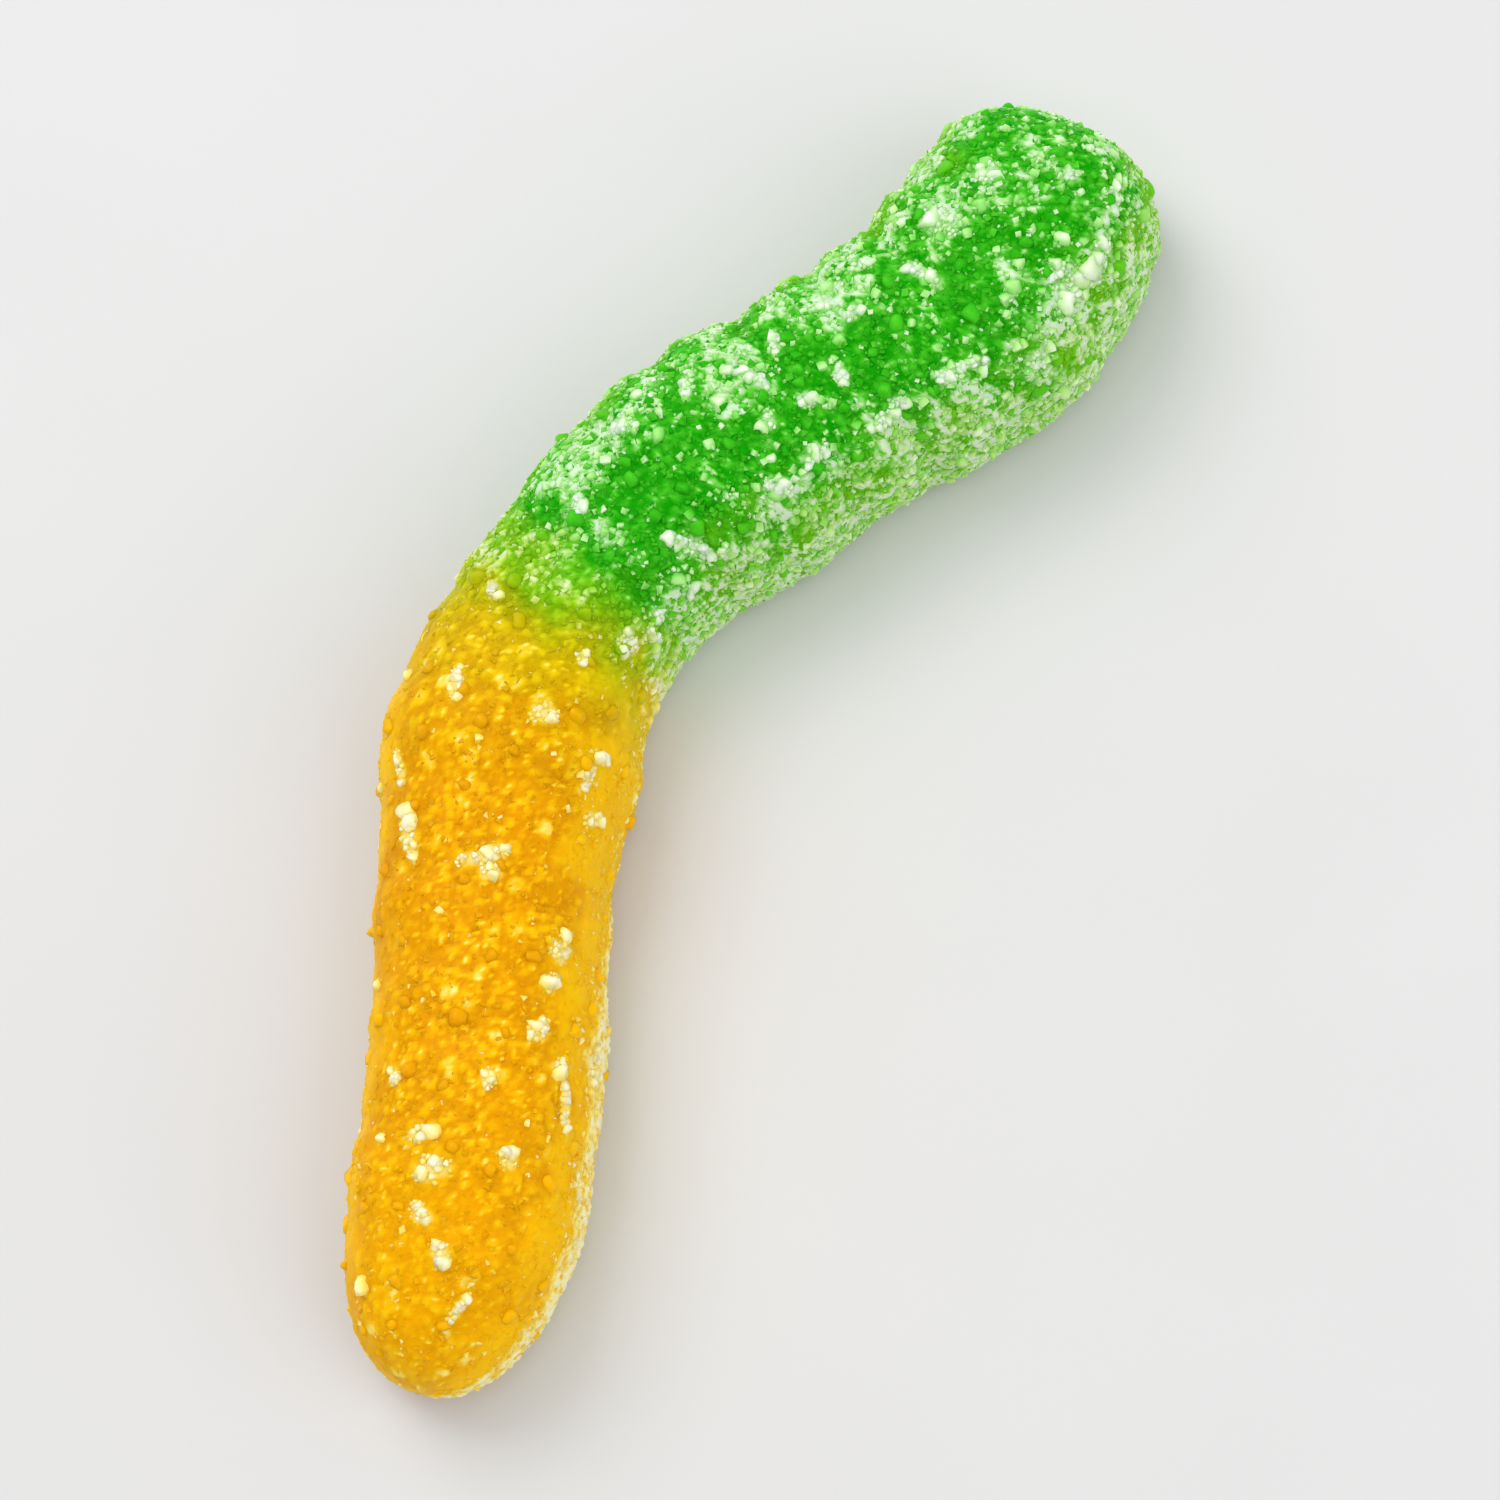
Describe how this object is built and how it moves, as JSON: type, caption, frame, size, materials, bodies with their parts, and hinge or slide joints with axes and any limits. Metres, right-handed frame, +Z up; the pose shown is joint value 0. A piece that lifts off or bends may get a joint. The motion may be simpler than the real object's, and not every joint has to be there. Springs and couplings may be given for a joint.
{
  "type": "gummy worm",
  "caption": "Sour sugared jelly worm, green at one end and amber yellow at the other, bent in a lazy bow on its flat back, with weak rings and coarse sugar grains.",
  "frame": {"origin": "on the surface that the worm lies on, at the middle of its box", "axes": "+Z up from the flat back to the dome, +Y towards the green tip's end of the box, +X towards the green tip's side"},
  "size_m": [0.0374, 0.0588, 0.0095],
  "materials": {
    "gummy": "translucent gel, green over one half and amber yellow over the other",
    "sugar": "small frosted crystals"
  },
  "bodies": {
    "root": {"worm": "gummy"}
  },
  "joints": []
}
